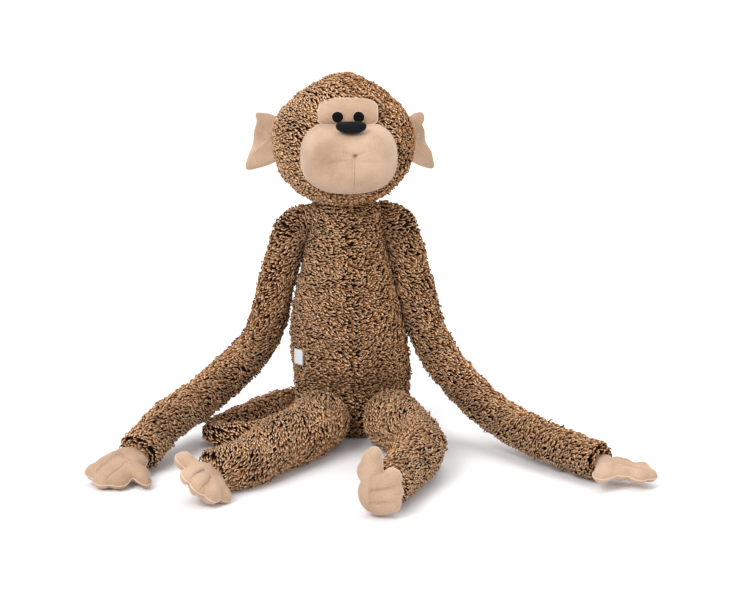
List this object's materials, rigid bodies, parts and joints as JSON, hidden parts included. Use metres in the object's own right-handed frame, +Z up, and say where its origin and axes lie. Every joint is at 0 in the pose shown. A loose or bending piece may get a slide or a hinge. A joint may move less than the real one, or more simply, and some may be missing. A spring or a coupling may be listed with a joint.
{
  "type": "stuffed monkey",
  "caption": "Long-armed plush monkey with a beige muzzle, ears, hands and feet, seated with jointed soft limbs and a curled tail.",
  "frame": {"origin": "middle of the flat seat, on the surface that the toy sits on", "axes": "+Z up, -Y the way the monkey faces, +X the monkey's left"},
  "size_m": [0.6827, 0.4435, 0.471],
  "materials": {
    "pile": "brown long-loop plush pile, dark at the root and tan at the tip",
    "velour": "beige short velour",
    "fibre": "white polyester fibre filling",
    "pellets": "plastic pellets in a thin white bag",
    "black_velour": "black short velour",
    "black_stitch": "black satin stitch embroidery",
    "label": "white woven ribbon, blank",
    "thread": "brown sewing thread"
  },
  "bodies": {
    "torso": {"torso_cover": "pile", "torso_stuffing": "fibre", "seat_panel": "pile", "pellet_bag": "pellets", "wash_label": "label"},
    "neck": {"neck_cover": "pile", "neck_stuffing": "fibre"},
    "head": {"head_cover": "pile", "head_stuffing": "fibre", "brow_panel": "velour", "muzzle_cover": "velour", "muzzle_stuffing": "fibre", "eye_right": "black_stitch", "eye_left": "black_stitch", "nose": "black_velour", "mouth_stitch": "thread"},
    "ear_right": {"ear_right_front": "velour", "ear_right_back": "velour"},
    "upper_arm_right": {"upper_arm_right_cover": "pile", "upper_arm_right_stuffing": "fibre"},
    "mid_arm_right": {"mid_arm_right_cover": "pile", "mid_arm_right_stuffing": "fibre"},
    "forearm_right": {"forearm_right_cover": "pile", "forearm_right_stuffing": "fibre"},
    "hand_right": {"hand_right_top": "velour", "hand_right_palm": "velour", "hand_right_stuffing": "fibre"},
    "thigh_right": {"thigh_right_cover": "pile", "thigh_right_stuffing": "fibre"},
    "shin_right": {"shin_right_cover": "pile", "shin_right_stuffing": "fibre"},
    "foot_right": {"foot_right_top": "velour", "foot_right_sole": "velour", "foot_right_stuffing": "fibre"},
    "ear_left": {"ear_left_front": "velour", "ear_left_back": "velour"},
    "upper_arm_left": {"upper_arm_left_cover": "pile", "upper_arm_left_stuffing": "fibre"},
    "mid_arm_left": {"mid_arm_left_cover": "pile", "mid_arm_left_stuffing": "fibre"},
    "forearm_left": {"forearm_left_cover": "pile", "forearm_left_stuffing": "fibre"},
    "hand_left": {"hand_left_top": "velour", "hand_left_palm": "velour", "hand_left_stuffing": "fibre"},
    "thigh_left": {"thigh_left_cover": "pile", "thigh_left_stuffing": "fibre"},
    "shin_left": {"shin_left_cover": "pile", "shin_left_stuffing": "fibre"},
    "foot_left": {"foot_left_top": "velour", "foot_left_sole": "velour", "foot_left_stuffing": "fibre"},
    "tail_root": {"tail_root_cover": "pile", "tail_root_stuffing": "fibre"},
    "tail_middle": {"tail_middle_cover": "pile", "tail_middle_stuffing": "fibre"},
    "tail_tip": {"tail_tip_cover": "pile", "tail_tip_stuffing": "fibre"}
  },
  "joints": [
    {"name": "neck_turn", "type": "hinge", "parent": "torso", "child": "neck", "pos_m": [-0.009, 0, 0.296], "axis": [0, 0, 1], "range_deg": [-35, 35]},
    {"name": "head_nod", "type": "hinge", "parent": "neck", "child": "head", "pos_m": [-0.009, 0, 0.3075], "axis": [1, 0, 0], "range_deg": [-12, 12]},
    {"name": "ear_right_flop", "type": "hinge", "parent": "head", "child": "ear_right", "pos_m": [-0.101, 0.005, 0.388], "axis": [0, 0, 1], "range_deg": [-20, 20]},
    {"name": "ear_left_flop", "type": "hinge", "parent": "head", "child": "ear_left", "pos_m": [0.081, 0.005, 0.388], "axis": [0, 0, -1], "range_deg": [-10, 25]},
    {"name": "shoulder_right_raise", "type": "hinge", "parent": "torso", "child": "upper_arm_right", "pos_m": [-0.0765, -0.004, 0.278], "axis": [0, 1, 0], "range_deg": [0, 80]},
    {"name": "elbow_right_bend", "type": "hinge", "parent": "upper_arm_right", "child": "mid_arm_right", "pos_m": [-0.117, 0.02, 0.115], "axis": [-0.5882, 0.8087, 0], "range_deg": [0, 35]},
    {"name": "forearm_right_bend", "type": "hinge", "parent": "mid_arm_right", "child": "forearm_right", "pos_m": [-0.194, -0.036, 0.057], "axis": [-0.8816, 0.472, 0], "range_deg": [0, 30]},
    {"name": "wrist_right_bend", "type": "hinge", "parent": "forearm_right", "child": "hand_right", "pos_m": [-0.262, -0.163, 0.025], "axis": [-0.8664, 0.4994, 0], "range_deg": [0, 25]},
    {"name": "shoulder_left_raise", "type": "hinge", "parent": "torso", "child": "upper_arm_left", "pos_m": [0.062, 0.004, 0.278], "axis": [0, -1, 0], "range_deg": [0, 80]},
    {"name": "elbow_left_bend", "type": "hinge", "parent": "upper_arm_left", "child": "mid_arm_left", "pos_m": [0.103, 0.002, 0.112], "axis": [-0.6619, -0.7496, 0], "range_deg": [0, 35]},
    {"name": "forearm_left_bend", "type": "hinge", "parent": "mid_arm_left", "child": "forearm_left", "pos_m": [0.18, -0.066, 0.042], "axis": [-0.7292, -0.6843, 0], "range_deg": [0, 30]},
    {"name": "wrist_left_bend", "type": "hinge", "parent": "forearm_left", "child": "hand_left", "pos_m": [0.302, -0.196, 0.025], "axis": [-0.2827, -0.9592, 0], "range_deg": [0, 25]},
    {"name": "hip_right_raise", "type": "hinge", "parent": "torso", "child": "thigh_right", "pos_m": [-0.04, -0.071, 0.0375], "axis": [-0.8657, 0.5006, 0], "range_deg": [0, 50]},
    {"name": "knee_right_bend", "type": "hinge", "parent": "thigh_right", "child": "shin_right", "pos_m": [-0.088, -0.154, 0.033], "axis": [0, 0, 1], "range_deg": [0, 45]},
    {"name": "ankle_right_bend", "type": "hinge", "parent": "shin_right", "child": "foot_right", "pos_m": [-0.163, -0.238, 0.027], "axis": [-0.8619, 0.507, 0], "range_deg": [0, 30]},
    {"name": "hip_left_raise", "type": "hinge", "parent": "torso", "child": "thigh_left", "pos_m": [0.052, -0.066, 0.0375], "axis": [-0.9225, -0.386, 0], "range_deg": [0, 50]},
    {"name": "knee_left_bend", "type": "hinge", "parent": "thigh_left", "child": "shin_left", "pos_m": [0.093, -0.164, 0.033], "axis": [0, 0, 1], "range_deg": [-15, 40]},
    {"name": "ankle_left_bend", "type": "hinge", "parent": "shin_left", "child": "foot_left", "pos_m": [0.048, -0.28, 0.026], "axis": [0, 0, -1], "range_deg": [0, 35]},
    {"name": "tail_swing", "type": "hinge", "parent": "torso", "child": "tail_root", "pos_m": [-0.012, 0.066, 0.016], "axis": [0, 0, -1], "range_deg": [0, 60]},
    {"name": "tail_bend", "type": "hinge", "parent": "tail_root", "child": "tail_middle", "pos_m": [-0.088, 0.098, 0.016], "axis": [0, 0, -1], "range_deg": [0, 50]},
    {"name": "tail_curl", "type": "hinge", "parent": "tail_middle", "child": "tail_tip", "pos_m": [-0.158, -0.005, 0.016], "axis": [0, 0, -1], "range_deg": [0, 20]}
  ]
}
